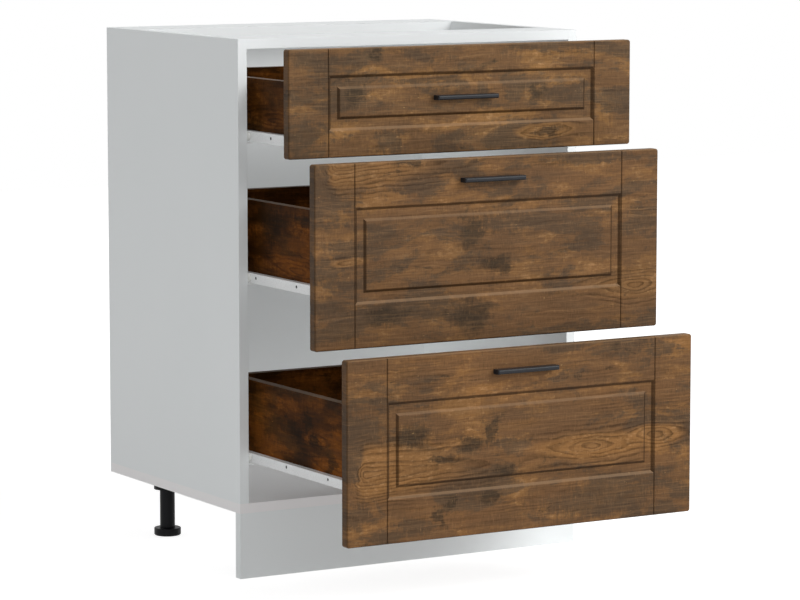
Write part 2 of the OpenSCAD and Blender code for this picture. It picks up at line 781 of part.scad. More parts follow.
base_panel();
side_panel(LEFT);  // left_side_panel
side_panel(RIGHT);  // right_side_panel
stretcher(0);  // front_stretcher
stretcher(carcass_d - stretcher_d);  // rear_stretcher
back_panel();
plinth_board();
plinth_clips();
leg_sockets();
leg_tubes();
foot(-leg_x, leg_y[0]);  // front_left_foot
foot(leg_x, leg_y[0]);  // front_right_foot
foot(-leg_x, leg_y[1]);  // rear_left_foot
foot(leg_x, leg_y[1]);  // rear_right_foot
base_screws();
carcass_cams();
cabinet_profile_screws();
cabinet_profile(UPPER, LEFT);  // upper_left_cabinet_profile
cabinet_profile(UPPER, RIGHT);  // upper_right_cabinet_profile
cabinet_profile(MIDDLE, LEFT);  // middle_left_cabinet_profile
cabinet_profile(MIDDLE, RIGHT);  // middle_right_cabinet_profile
cabinet_profile(LOWER, LEFT);  // lower_left_cabinet_profile
cabinet_profile(LOWER, RIGHT);  // lower_right_cabinet_profile
cabinet_rollers(UPPER);  // upper_cabinet_rollers
cabinet_rollers(MIDDLE);  // middle_cabinet_rollers
cabinet_rollers(LOWER);  // lower_cabinet_rollers
drawer_front(UPPER);  // upper_front
drawer_side(UPPER, LEFT);  // upper_left_drawer_side
drawer_side(UPPER, RIGHT);  // upper_right_drawer_side
drawer_back(UPPER);  // upper_drawer_back
drawer_bottom(UPPER);  // upper_drawer_bottom
handle(UPPER);  // upper_handle
handle_screws(UPPER);  // upper_handle_screws
drawer_profile(UPPER, LEFT);  // upper_left_drawer_profile
drawer_profile(UPPER, RIGHT);  // upper_right_drawer_profile
drawer_rollers(UPPER);  // upper_drawer_rollers
drawer_fittings(UPPER);  // upper_drawer_fittings
drawer_front(MIDDLE);  // middle_front
drawer_side(MIDDLE, LEFT);  // middle_left_drawer_side
drawer_side(MIDDLE, RIGHT);  // middle_right_drawer_side
drawer_back(MIDDLE);  // middle_drawer_back
drawer_bottom(MIDDLE);  // middle_drawer_bottom
handle(MIDDLE);  // middle_handle
handle_screws(MIDDLE);  // middle_handle_screws
drawer_profile(MIDDLE, LEFT);  // middle_left_drawer_profile
drawer_profile(MIDDLE, RIGHT);  // middle_right_drawer_profile
drawer_rollers(MIDDLE);  // middle_drawer_rollers
drawer_fittings(MIDDLE);  // middle_drawer_fittings
drawer_front(LOWER);  // lower_front
drawer_side(LOWER, LEFT);  // lower_left_drawer_side
drawer_side(LOWER, RIGHT);  // lower_right_drawer_side
drawer_back(LOWER);  // lower_drawer_back
drawer_bottom(LOWER);  // lower_drawer_bottom
handle(LOWER);  // lower_handle
handle_screws(LOWER);  // lower_handle_screws
drawer_profile(LOWER, LEFT);  // lower_left_drawer_profile
drawer_profile(LOWER, RIGHT);  // lower_right_drawer_profile
drawer_rollers(LOWER);  // lower_drawer_rollers
drawer_fittings(LOWER);  // lower_drawer_fittings
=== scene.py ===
"""Kitchen base cabinet: finishes, small hardware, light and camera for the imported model.

Everything is in metres in the model's own frame: X to the right, Y to the back, Z up, seen from the front.
"""

import json
import math

import bmesh
import bpy
from mathutils import Matrix, Vector


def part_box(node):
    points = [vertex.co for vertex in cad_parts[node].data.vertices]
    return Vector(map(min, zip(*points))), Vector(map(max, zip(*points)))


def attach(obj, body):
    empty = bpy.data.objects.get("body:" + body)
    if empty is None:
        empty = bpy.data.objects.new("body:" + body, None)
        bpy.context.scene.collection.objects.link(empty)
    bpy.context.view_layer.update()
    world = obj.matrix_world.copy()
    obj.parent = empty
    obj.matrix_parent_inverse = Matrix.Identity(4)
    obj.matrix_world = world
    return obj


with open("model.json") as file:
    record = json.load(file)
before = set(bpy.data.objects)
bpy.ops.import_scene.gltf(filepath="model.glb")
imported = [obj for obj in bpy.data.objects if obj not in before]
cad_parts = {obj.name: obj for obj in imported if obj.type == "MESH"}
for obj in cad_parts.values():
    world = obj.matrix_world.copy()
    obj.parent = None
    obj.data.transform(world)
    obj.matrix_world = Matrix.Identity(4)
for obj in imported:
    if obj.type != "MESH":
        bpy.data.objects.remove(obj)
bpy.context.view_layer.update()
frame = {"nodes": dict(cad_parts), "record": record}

DRAWERS = ("upper", "middle", "lower")
SIDES = ("left", "right")
MM = 0.001

# Growth rings: how many to a metre across the grain, and how far along the board a figure's rings are seen
RINGS = 190.0
RING_REACH = 0.16

# The painted shade and painted highlight in the fronts' relief: the depths between which the shade sets in, the
# depth at which the relief ends, how far from the front's left and right edges it is full and none, and the
# height of the painted highlight on the top edge
PAINTED_SHADE_START = 0.2 * MM
PAINTED_SHADE_FULL = 0.9 * MM
RELIEF_DEPTH = 2.8 * MM
INNER_RIM = 10 * MM
OUTER_RIM = 6 * MM
TOP_HIGHLIGHT_HEIGHT = 2.5 * MM

# The drawer profiles' screws: their places along the flange and in from its edge, and the holes in the web
FLANGE_SCREW_Y = (44.5 * MM, 219.5 * MM, 349.5 * MM)
FLANGE_SCREW_IN = 6.5 * MM
WEB_HOLE_Y = tuple((85.5 + 126 * n) * MM for n in range(3))
WEB_HOLE_Z = 8.5 * MM

# The legs' flanges: half their width, the radius of their screws' circle and their thickness
FLANGE_HALF = 31 * MM
FLANGE_SCREW_R = 26.25 * MM
FLANGE_T = 3 * MM

# The plinth clips: their screws' distance from the middle of the leg, and their thickness
CLIP_SCREW_X = 16 * MM
CLIP_T = 3 * MM

# How far the back panel's nails are from its edges, and the gaps between them upwards and across
NAIL_RIM = 7.5 * MM
NAIL_GAPS_UP = 6
NAIL_GAPS_ACROSS = 5

# Light: the world's strength, and the glow that the camera sees on the floor, near the object and far from it,
# with the distances from the object's middle between which it changes
WORLD_LIGHT = 0.20
GLOW_NEAR = 0.73
GLOW_NEAR_END = 1.2
GLOW_FAR = 0.88
GLOW_FAR_START = 3.0
FLOOR_HALF = 6.0
FLOOR_GAP = 0.5 * MM

# Colours, as linear values
OAK_BROWN = (0.127, 0.065, 0.029)
OAK_AMBER = (0.236, 0.114, 0.038)
OAK_LIGHT = (0.360, 0.200, 0.088)
OAK_GREY = (0.065, 0.0425, 0.026)
OAK_SMOKE = (0.042, 0.028, 0.0165)
OAK_DARK = (0.016, 0.007, 0.002)
OAK_FLECK = (0.400, 0.240, 0.100)
# A pale amber that is painted as a highlight on the fronts' up-facing bevels and top edge
OAK_PAINTED_HIGHLIGHT = (0.330, 0.205, 0.110)
BOX_TINTS = {  # the two tints of each drawer's box
    "upper": ((0.26, 0.175, 0.078), (0.68, 0.470, 0.225)),
    "middle": ((0.23, 0.148, 0.058), (0.80, 0.510, 0.205)),
    "lower": ((0.28, 0.178, 0.066), (1.00, 0.640, 0.245)),
}
BOX_EDGE = (0.200, 0.140, 0.095)
WHITE_BOARD = (0.868, 0.898, 0.902)
WHITE_BOARD_LIGHT = (0.882, 0.908, 0.912)
WHITE_BASE = (0.930, 0.915, 0.915)
WHITE_BASE_LIGHT = (0.945, 0.930, 0.928)
RUNNER_WHITE = (0.820, 0.830, 0.830)
BLACK_PAINT = (0.014, 0.015, 0.018)
BLACK_PLASTIC = (0.006, 0.006, 0.007)
NYLON = (0.800, 0.800, 0.770)
ZINC = (0.560, 0.570, 0.580)
FLOOR_WHITE = (0.720, 0.720, 0.720)

# Each front's marks on the oak print, in millimetres from the front's middle. A growth-ring figure is (along,
# across, half length to the left, half length to the right, half width); a spot is (along, across, half length,
# half width).
FRONT_MARKS = {
    "upper": {
        "figures": [(147, -56, 55, 50, 13)],
        "dark": [(131, 9, 14, 14), (-150, 71, 10, 11), (-192, 10, 15, 13), (147, -55, 20, 8)],
        "grey": [(-131, -63, 21, 18), (30, 2, 18, 19), (-271, 65, 23, 12), (204, 7, 12, 16),
                 (-76, 66, 23, 10)],
        "amber": [(250, -26, 23, 21), (155, 60, 50, 10), (-219, -39, 30, 12), (-60, 30, 50, 12),
                  (80, -30, 50, 10)],
    },
    "middle": {
        "figures": [(-262, 134, 40, 450, 34), (262, -70, 80, 60, 19), (-240, -6, 30, 30, 7)],
        "dark": [(-29, 24, 24, 21), (-36, -97, 26, 23), (-176, -88, 32, 14), (-137, 132, 24, 7),
                 (16, -24, 20, 14)],
        "grey": [(-188, 29, 27, 17), (73, 39, 87, 12), (-273, -75, 27, 14), (-258, 15, 27, 10),
                 (262, 30, 34, 18)],
        "amber": [(-195, 83, 35, 17), (-265, 60, 19, 13), (-105, -72, 36, 16), (172, 119, 45, 11),
                  (-284, 128, 23, 13), (-282, -30, 20, 30)],
    },
    "lower": {
        "figures": [(-268, -30, 35, 550, 36), (120, -20, 100, 100, 22), (235, -14, 50, 45, 16)],
        "dark": [(-90, 1, 24, 11), (-54, 19, 11, 19), (-194, 20, 24, 17), (-134, -18, 22, 7),
                 (-138, -99, 11, 19), (-54, -76, 11, 16), (-29, -43, 23, 11)],
        "grey": [(-190, -112, 28, 16), (137, -104, 89, 21), (-25, -5, 29, 12), (-284, -93, 19, 21),
                 (73, 135, 37, 11)],
        "amber": [(-170, -20, 36, 10), (-257, -16, 27, 15), (111, -19, 46, 11), (243, -20, 30, 14),
                  (-106, 54, 48, 14), (-215, -45, 60, 16), (262, 118, 36, 14)],
    },
}

# The drawer sides' marks, in millimetres from the side's front end and from its middle height
BOX_MARKS = {
    "upper": {
        "figures": [(70, -12, 60, 100, 14)],
        "dark": [(35, 15, 22, 10), (150, -20, 30, 10)],
        "amber": [(95, 22, 30, 10)],
    },
    "middle": {
        "figures": [(80, -30, 80, 120, 16)],
        "dark": [(160, 25, 20, 24), (20, -40, 12, 14), (60, 40, 40, 8)],
        "amber": [(110, -15, 45, 16), (40, -8, 30, 10), (100, -45, 40, 8)],
    },
    "lower": {
        "figures": [(60, -36, 50, 90, 14), (125, 0, 30, 40, 10)],
        "dark": [(190, 0, 26, 13), (150, 22, 12, 18), (118, -4, 18, 10), (78, -32, 12, 18),
                 (255, -4, 18, 10)],
        "amber": [(225, 35, 50, 16), (60, 20, 60, 16), (230, -40, 50, 14), (120, -45, 30, 10)],
    },
}

# Each drawer's own stretch of the print, how strong its ambers are, and its front's two tints
SEEDS = {"upper": (0.0, 3.1, 0.7), "middle": (5.3, 1.9, 2.2), "lower": (9.7, 6.4, 4.1)}
VIVID = {"upper": 0.78, "middle": 0.56, "lower": 0.72}
FRONT_TINTS = {
    "upper": ((1.09, 1.14, 1.20), (1.34, 1.40, 1.43)),
    "middle": ((1.06, 1.10, 1.17), (1.23, 1.25, 1.29)),
    "lower": ((1.08, 1.10, 1.14), (1.25, 1.24, 1.23)),
}


class Shader:
    """A node material that is built from the last step back: each call adds a node and returns its output."""

    def __init__(self, name):
        self.material = bpy.data.materials.new(name)
        self.material.use_nodes = True
        self.tree = self.material.node_tree
        self.bsdf = self.tree.nodes["Principled BSDF"]
        self.position = self.tree.nodes.new("ShaderNodeTexCoord").outputs["Object"]

    def put(self, socket, value):
        if isinstance(value, bpy.types.NodeSocket):
            self.tree.links.new(value, socket)
        elif socket.type == "RGBA" and len(value) == 3:
            socket.default_value = (*value, 1)
        else:
            socket.default_value = value

    def math(self, operation, a, b=0.0, c=0.0):
        node = self.tree.nodes.new("ShaderNodeMath")
        node.operation = operation
        for socket, value in zip(node.inputs, (a, b, c)):
            self.put(socket, value)
        return node.outputs[0]

    def vector(self, operation, a, b=(0, 0, 0)):
        node = self.tree.nodes.new("ShaderNodeVectorMath")
        node.operation = operation
        self.put(node.inputs[0], a)
        self.put(node.inputs[1], b)
        return node.outputs["Value" if operation == "LENGTH" else "Vector"]

    def axes(self, vector, order):
        """The vector with its components in another order, such as "yzx"."""
        split = self.tree.nodes.new("ShaderNodeSeparateXYZ")
        join = self.tree.nodes.new("ShaderNodeCombineXYZ")
        self.put(split.inputs[0], vector)
        for n, axis in enumerate(order):
            self.put(join.inputs[n], split.outputs[axis.upper()])
        return join.outputs[0]

    def join(self, x, y, z=0.0):
        node = self.tree.nodes.new("ShaderNodeCombineXYZ")
        for socket, value in zip(node.inputs, (x, y, z)):
            self.put(socket, value)
        return node.outputs[0]

    def part(self, vector, axis):
        split = self.tree.nodes.new("ShaderNodeSeparateXYZ")
        self.put(split.inputs[0], vector)
        return split.outputs[axis.upper()]

    def noise(self, vector, scale, detail, roughness, distortion=0.0):
        """Noise between 0 and 1; scale is one number per axis, in cycles per metre."""
        node = self.tree.nodes.new("ShaderNodeTexNoise")
        self.put(node.inputs["Vector"], self.vector("MULTIPLY", vector, scale))
        node.inputs["Scale"].default_value = 1
        node.inputs["Detail"].default_value = detail
        node.inputs["Roughness"].default_value = roughness
        node.inputs["Distortion"].default_value = distortion
        return node.outputs["Fac"]

    def color_noise(self, vector, scale, detail, roughness):
        """Three noises at once, as a vector whose parts lie between 0 and 1."""
        return self.noise(vector, scale, detail, roughness).node.outputs["Color"]

    def normal(self):
        return self.tree.nodes.new("ShaderNodeNewGeometry").outputs["Normal"]

    def step(self, value, low, high, to_low=0.0, to_high=1.0):
        """The value eased from to_low at low to to_high at high."""
        node = self.tree.nodes.new("ShaderNodeMapRange")
        node.interpolation_type = "SMOOTHSTEP"
        for name, number in zip(
            ("Value", "From Min", "From Max", "To Min", "To Max"),
            (value, low, high, to_low, to_high),
        ):
            self.put(node.inputs[name], number)
        return node.outputs["Result"]

    def mix(self, factor, a, b, blend="MIX"):
        node = self.tree.nodes.new("ShaderNodeMix")
        node.data_type = "RGBA"
        node.blend_type = blend
        self.put(node.inputs["Factor"], factor)
        self.put(node.inputs[6], a)
        self.put(node.inputs[7], b)
        return node.outputs[2]

    def rounded(self, radius):
        """A normal that rounds the mesh's edges by that radius."""
        node = self.tree.nodes.new("ShaderNodeBevel")
        node.samples = 4
        node.inputs["Radius"].default_value = radius
        return node.outputs["Normal"]

    def bump(self, height, strength, distance, normal):
        node = self.tree.nodes.new("ShaderNodeBump")
        node.inputs["Strength"].default_value = strength
        node.inputs["Distance"].default_value = distance
        self.put(node.inputs["Height"], height)
        self.put(node.inputs["Normal"], normal)
        return node.outputs["Normal"]

    def finish(self, color, roughness, normal=None, metallic=0.0, specular=0.5):
        self.put(self.bsdf.inputs["Base Color"], color)
        self.put(self.bsdf.inputs["Roughness"], roughness)
        self.put(self.bsdf.inputs["Metallic"], metallic)
        self.put(self.bsdf.inputs["Specular IOR Level"], specular)
        if normal is not None:
            self.put(self.bsdf.inputs["Normal"], normal)
        return self.material


def wander(s, place, scale, detail, roughness, reach):
    """Offsets of up to about half of reach, which change from place to place."""
    moved = s.color_noise(place, scale, detail, roughness)
    return s.vector("MULTIPLY", s.vector("SUBTRACT", moved, (0.5, 0.5, 0.5)), reach)


def spots(s, here, places, torn, mask):
    """The larger of mask and the spots, each (along, across, half length, half width), with torn edges."""
    for along, across, half_length, half_width in places:
        off = s.vector("SUBTRACT", here, (along, across, 0))
        off = s.vector("MULTIPLY", off, (1 / half_length, 1 / half_width, 0))
        distance = s.math("ADD", s.vector("LENGTH", off), torn)
        mask = s.math("MAXIMUM", mask, s.step(distance, 1.5, 0.6))
    return mask


def growth_rings(s, here, p, figures):
    """The flow of the grain, whose contour lines are the growth rings, and how near the next figure is.

    Each figure is a row of nested ellipses: (along, across, half length to the left, half length to the right,
    half width). Away from the figures the rings run along the board.
    """
    bend = wander(s, p, (9, 26, 6), 3, 0.5, (0.044, 0.020, 0))
    shake = wander(s, p, (34, 85, 20), 3, 0.6, (0.012, 0.0045, 0))
    place = s.vector("ADD", here, s.vector("ADD", bend, shake))
    height = s.math("ADD", s.part(place, "y"), 1.0)
    nearness = 0.0
    for along, across, left, right, half_width in figures:
        off = s.vector("SUBTRACT", place, (along, across, 0))
        x = s.part(off, "x")
        to_right = s.math("DIVIDE", s.math("MAXIMUM", x, 0.0), right)
        to_left = s.math("DIVIDE", s.math("MINIMUM", x, 0.0), left)
        x = s.math("SUBTRACT", to_right, to_left)
        end = s.math("MULTIPLY", s.math("TANH", s.math("MULTIPLY", x, 1.2)), half_width)
        level = s.vector("LENGTH", s.join(end, s.part(off, "y")))
        height = s.math("SMOOTH_MIN", height, level, 0.006)
        near = s.math("MULTIPLY", x, max(1.0, right / RING_REACH))
        distance = s.vector("LENGTH", s.join(near, s.math("DIVIDE", s.part(off, "y"), half_width)))
        nearness = s.math("MAXIMUM", nearness, s.step(distance, 2.1, 0.2))
    return s.math("MULTIPLY", height, RINGS), nearness


def oak_decor(name, order, seed, print_marks, tints, vivid=0.70, specular=0.06, relief=None):
    """Aged oak print. order names the axes along the grain, across it and into the board.

    print_marks holds lists of places on the board: "figures" are flat-sawn figures as for growth_rings, and
    "dark", "grey" and "amber" are spots. The colour is multiplied by a cloudy mixture of the two tints. relief
    is a function that changes the colour in the board's profile or on its edges: painted shade and painted
    highlights on the fronts, paler top edges on the drawers' boxes. vivid is the strength of the ambers.
    """
    s = Shader(name)
    here = s.axes(s.position, order)
    p = s.vector("ADD", here, seed)
    flow, nearness = growth_rings(s, here, p, print_marks.get("figures", []))

    # Blotches with torn edges: grey-brown and dark clouds over brown, with amber lights
    mottle = s.noise(p, (75, 170, 40), 4, 0.68)
    tears = s.noise(p, (210, 50, 40), 3, 0.62)
    torn = s.math("MULTIPLY_ADD", s.math("ADD", mottle, tears), 1.25, -1.25)
    edge = s.math("MULTIPLY", torn, 0.095)
    bent = s.vector("ADD", here, wander(s, p, (20, 42, 10), 4, 0.65, (0.10, 0.045, 0)))
    clouds = s.math("ADD", s.noise(p, (8, 20, 9), 6, 0.64, 0.4), edge)
    ambers = s.math("ADD", s.noise(s.vector("ADD", p, (3, 7, 1)), (9, 26, 8), 6, 0.66, 0.3), edge)
    darks = s.math("ADD", s.noise(s.vector("ADD", p, (9, 2, 5)), (13, 30, 10), 6, 0.64, 0.5), edge)
    amber = s.math("MAXIMUM", s.step(ambers, 0.48, 0.64), s.step(nearness, 0.40, 0.85))
    amber = spots(s, bent, print_marks.get("amber", []), torn, amber)
    grey = s.math("MULTIPLY", s.step(clouds, 0.47, 0.57), s.step(nearness, 0.75, 0.35))
    grey = spots(s, bent, print_marks.get("grey", []), torn, grey)
    dark = spots(s, bent, print_marks.get("dark", []), torn, s.step(darks, 0.62, 0.72))

    # Streaks that follow the flow, so that they run round the figures
    along = s.part(p, "x")
    side = s.math("MULTIPLY", s.part(p, "y"), 14.0)
    bands = s.noise(s.join(along, flow, side), (7, 0.30, 1), 3, 0.6)
    streaks = s.noise(s.join(along, flow, side), (12, 1.2, 1), 5, 0.72)
    color = s.mix(s.math("MULTIPLY", amber, vivid), OAK_BROWN, OAK_AMBER)
    color = s.mix(s.step(bands, 0.50, 0.68, 0.0, 0.22), color, OAK_AMBER)
    color = s.mix(s.step(bands, 0.48, 0.34, 0.0, 0.22), color, OAK_GREY)
    lights = s.math("MULTIPLY", s.step(mottle, 0.50, 0.72), s.step(amber, 0.3, 1.0, 0.05, 0.9 * vivid))
    color = s.mix(lights, color, OAK_LIGHT)
    color = s.mix(s.math("MULTIPLY", grey, s.step(mottle, 0.30, 0.62, 0.60, 0.85)), color, OAK_GREY)
    color = s.mix(s.math("MULTIPLY", dark, s.step(mottle, 0.34, 0.60, 0.62, 0.92)), color, OAK_SMOKE)
    color = s.mix(s.step(streaks, 0.52, 0.72, 0.0, 0.18), color, OAK_LIGHT)
    color = s.mix(s.step(streaks, 0.48, 0.28, 0.0, 0.30), color, OAK_DARK)

    # Rings, grain along the board, pores, the fine saw marks across it and a few pale flecks
    phase = s.math("FRACT", flow)
    ring = s.math("MULTIPLY", s.step(phase, 0.35, 0.84), s.step(phase, 0.88, 1.0, 1.0, 0.0))
    ring_mask = s.step(s.noise(p, (5, 17, 4), 3, 0.6), 0.48, 0.66, 0.04, 0.50)
    ring_mask = s.math("MAXIMUM", ring_mask, s.step(nearness, 0.04, 0.42))
    ring_mask = s.math("MULTIPLY", ring_mask, s.step(s.noise(p, (40, 60, 30), 3, 0.6), 0.32, 0.58, 0.45, 1.0))
    grain = s.noise(p, (14, 520, 30), 4, 0.6)
    pores = s.noise(p, (55, 1400, 40), 2, 0.5)
    saw = s.noise(p, (520, 90, 60), 3, 0.65)
    flecks = s.noise(p, (95, 210, 50), 3, 0.6)
    color = s.mix(s.math("MULTIPLY", ring, s.math("MULTIPLY", ring_mask, 0.52)), color, OAK_DARK)
    color = s.mix(s.step(grain, 0.52, 0.70, 0.0, 0.14), color, OAK_LIGHT)
    color = s.mix(s.step(grain, 0.48, 0.32, 0.0, 0.22), color, OAK_DARK)
    color = s.mix(s.step(pores, 0.60, 0.74, 0.0, 0.22), color, OAK_DARK)
    color = s.mix(s.step(saw, 0.54, 0.74, 0.0, 0.15), color, OAK_LIGHT)
    color = s.mix(s.step(saw, 0.46, 0.28, 0.0, 0.22), color, OAK_DARK)
    color = s.mix(s.step(flecks, 0.70, 0.76, 0.0, 0.40), color, OAK_FLECK)
    shades = s.math("ADD", s.noise(s.vector("ADD", p, (5, 1, 8)), (7, 17, 8), 5, 0.62, 0.4), edge)
    color = s.mix(1.0, color, s.mix(s.step(shades, 0.40, 0.62), *tints), "MULTIPLY")
    if relief:
        color = relief(s, color)

    height = s.math("ADD", s.math("MULTIPLY", grain, 0.7), s.math("MULTIPLY", pores, 0.5))
    normal = s.bump(height, 0.30, 0.2 * MM, s.rounded(0.8 * MM))
    roughness = s.step(grain, 0.3, 0.7, 0.42, 0.52)
    return s.finish(color, roughness, normal, specular=specular)


def profile_painted_shade(centre, face_y, half_width, half_height):
    """Painted shade and painted highlight in a front's relief: the grooves and bevels that don't face up are
    painted dark as shade, and those that face up are painted pale as if lit.

    The side faces at the left and right are painted dark as shade, and the front's top edge gets a painted
    highlight.
    """

    def painted_relief_light(s, color):
        depth = s.math("SUBTRACT", s.part(s.position, "y"), face_y)
        off = s.vector("ABSOLUTE", s.vector("SUBTRACT", s.position, (centre.x, 0, centre.z)))
        inside = s.step(s.part(off, "x"), half_width - OUTER_RIM, half_width - INNER_RIM)
        inside = s.math("MULTIPLY", inside, s.math("LESS_THAN", depth, RELIEF_DEPTH))
        mask = s.math("MULTIPLY", s.step(depth, PAINTED_SHADE_START, PAINTED_SHADE_FULL), inside)
        up = s.step(s.part(s.normal(), "z"), 0.15, 0.40)
        # Painted shade: the relief's grooves and bevels that don't face up are darkened as if in shade
        color = s.mix(s.math("MULTIPLY", mask, s.step(up, 0.0, 1.0, 0.66, 0.0)), color, OAK_DARK)
        # Painted highlight: the bevels that face up are made paler as if lit, more so on the lower half of the
        # front
        bevel_highlight = s.math("MULTIPLY", up, s.step(s.part(s.position, "z"), centre.z, centre.z + MM, 0.36, 0.24))
        color = s.mix(s.math("MULTIPLY", mask, bevel_highlight), color, OAK_PAINTED_HIGHLIGHT)
        # Painted highlight along the front's top edge, where it faces up
        top = s.step(s.part(off, "z"), half_height - TOP_HIGHLIGHT_HEIGHT, half_height - MM, 0.0, 0.20)
        color = s.mix(s.math("MULTIPLY", up, top), color, OAK_PAINTED_HIGHLIGHT)
        # Painted shade on the front's side faces at the left and right
        side = s.step(s.math("ABSOLUTE", s.part(s.normal(), "x")), 0.25, 0.70)
        rim = s.step(s.part(off, "x"), half_width - OUTER_RIM, half_width - OUTER_RIM / 2)
        rim = s.math("MULTIPLY", side, rim)
        return s.mix(s.math("MULTIPLY", rim, 0.28), color, OAK_DARK)

    return painted_relief_light


def pale_top(s, color):
    """Paler where a drawer's sides and back face up, on their top edges."""
    return s.mix(s.step(s.part(s.normal(), "z"), 0.60, 0.90, 0.0, 0.45), color, BOX_EDGE)


def white_board(name, low, high):
    """Melamine board with a faint orange peel, between two tones."""
    s = Shader(name)
    peel = s.noise(s.position, (900, 900, 900), 2, 0.5)
    tone = s.noise(s.position, (4, 4, 4), 3, 0.5)
    color = s.mix(s.step(tone, 0.3, 0.7), low, high)
    normal = s.bump(peel, 0.12, 0.1 * MM, s.rounded(0.6 * MM))
    return s.finish(color, s.step(peel, 0.3, 0.7, 0.38, 0.46), normal)


def plain_finish(name, color, roughness, grain, bump, metallic=0.0, specular=0.5, edge=0.4 * MM, vary=0.12):
    """Paint, plastic or metal with a fine grain.

    roughness is its range, grain the grain's cycles per metre, edge the radius that rounds the edges, and vary
    how much the tone varies from place to place.
    """
    s = Shader(name)
    fine = s.noise(s.position, (grain,) * 3, 3, 0.55)
    tone = s.noise(s.position, (25, 25, 25), 3, 0.6)
    low = tuple(c * (1 - vary) for c in color)
    high = tuple(min(1, c * (1 + vary)) for c in color)
    normal = s.bump(fine, bump, 0.1 * MM, s.rounded(edge))
    return s.finish(
        s.mix(s.step(tone, 0.3, 0.7), low, high),
        s.step(fine, 0.3, 0.7, *roughness),
        normal,
        metallic,
        specular,
    )


def set_material(node, material):
    """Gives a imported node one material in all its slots."""
    mesh = frame["nodes"][node].data
    if not mesh.materials:
        mesh.materials.append(material)
    for n in range(len(mesh.materials)):
        mesh.materials[n] = material


def place_marks(marks, along, across):
    """The marks in metres and in the model's frame, for a table that measures them from (along, across)."""
    placed = {}
    for kind, rows in marks.items():
        in_metres = [[v * MM for v in row] for row in rows]
        placed[kind] = [(a + along, b + across, *extent) for a, b, *extent in in_metres]
    return placed


def dress_nodes():
    """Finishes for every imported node."""
    board = white_board("white_board", WHITE_BOARD, WHITE_BOARD_LIGHT)
    runner = plain_finish("runner_paint", RUNNER_WHITE, (0.26, 0.34), 700, 0.10, vary=0.02)
    nylon = plain_finish("nylon", NYLON, (0.30, 0.40), 500, 0.10, vary=0.03)
    zinc = plain_finish("zinc", ZINC, (0.26, 0.42), 900, 0.20, metallic=1.0, vary=0.10)
    soft = 0.7 * MM
    paint = plain_finish("handle_paint", BLACK_PAINT, (0.26, 0.36), 1200, 0.15, specular=0.20, edge=soft)
    plastic = plain_finish("leg_plastic", BLACK_PLASTIC, (0.36, 0.50), 1000, 0.25, specular=0.12, edge=soft)
    by_slot = {
        "white_board": board,
        "white_hardboard": board,
        "runner_steel": runner,
        "nylon": nylon,
        "zinc_steel": zinc,
        "black_handle": paint,
        "black_plastic": plastic,
    }
    for row in frame["record"]["subparts"]:
        if row["material_slot"] in by_slot:
            set_material(row["node"], by_slot[row["material_slot"]])
    set_material("base_panel", white_board("white_base", WHITE_BASE, WHITE_BASE_LIGHT))

    for drawer in DRAWERS:
        low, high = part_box(f"{drawer}_front")
        centre = (low + high) / 2
        placed = place_marks(FRONT_MARKS[drawer], centre.x, centre.z)
        # Painted shade and painted highlights for the front's relief, its side faces and its top edge
        painted_relief_light = profile_painted_shade(centre, low.y, (high.x - low.x) / 2, (high.z - low.z) / 2)
        decor = oak_decor(
            f"oak_{drawer}_front",
            "xzy",
            SEEDS[drawer],
            placed,
            FRONT_TINTS[drawer],
            vivid=VIVID[drawer],
            relief=painted_relief_light,
        )
        set_material(f"{drawer}_front", decor)
        for n, side in enumerate(SIDES):
            node = f"{drawer}_{side}_drawer_side"
            low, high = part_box(node)
            seed = tuple(v + 2.3 * n + 1.7 for v in SEEDS[drawer])
            placed = place_marks(BOX_MARKS[drawer], low.y, (low.z + high.z) / 2)
            decor = oak_decor(
                f"oak_{node}", "yzx", seed, placed, BOX_TINTS[drawer], specular=0.02, relief=pale_top
            )
            set_material(node, decor)
        seed = tuple(v + 11.1 for v in SEEDS[drawer])
        for kind, order, relief in (("back", "xzy", pale_top), ("bottom", "xyz", None)):
            node = f"{drawer}_drawer_{kind}"
            tints = BOX_TINTS["middle"]
            decor = oak_decor(f"oak_{node}", order, seed, {}, tints, specular=0.02, relief=relief)
            set_material(node, decor)


def screw_head(radius, height, shank_radius, shank, recess=True):
    """Vertices and faces of a screw: a domed head on z = 0, with or without a cross recess, and its shank."""
    turns = 32
    rings = [(shank_radius, -shank), (shank_radius, 0), (radius, 0)]
    rings += [(radius, height * 0.35), (radius * 0.95, height * 0.6)]
    for f in (0.82, 0.68, 0.54, 0.42, 0.30, 0.20, 0.11):
        rings.append((radius * f, height * (0.6 + 0.4 * math.cos(f * math.pi / 2))))
    verts = [(0, 0, -shank)]
    for r, z in rings:
        for n in range(turns):
            a = 2 * math.pi * n / turns
            x, y = r * math.cos(a), r * math.sin(a)
            arm = min(abs(x), abs(y)) < radius * 0.11 and max(abs(x), abs(y)) < radius * 0.60
            sunk = height * 0.55 if recess and arm and z > height * 0.6 else 0
            verts.append((x, y, z - sunk))
    verts.append((0, 0, height * (0.45 if recess else 1)))
    faces = [(0, 1 + (n + 1) % turns, 1 + n) for n in range(turns)]
    for k in range(len(rings) - 1):
        for n in range(turns):
            a, b = 1 + k * turns + n, 1 + k * turns + (n + 1) % turns
            faces.append((a, b, b + turns, a + turns))
    last = len(verts) - 1
    faces += [(last - turns + n, last - turns + (n + 1) % turns, last) for n in range(turns)]
    return verts, faces


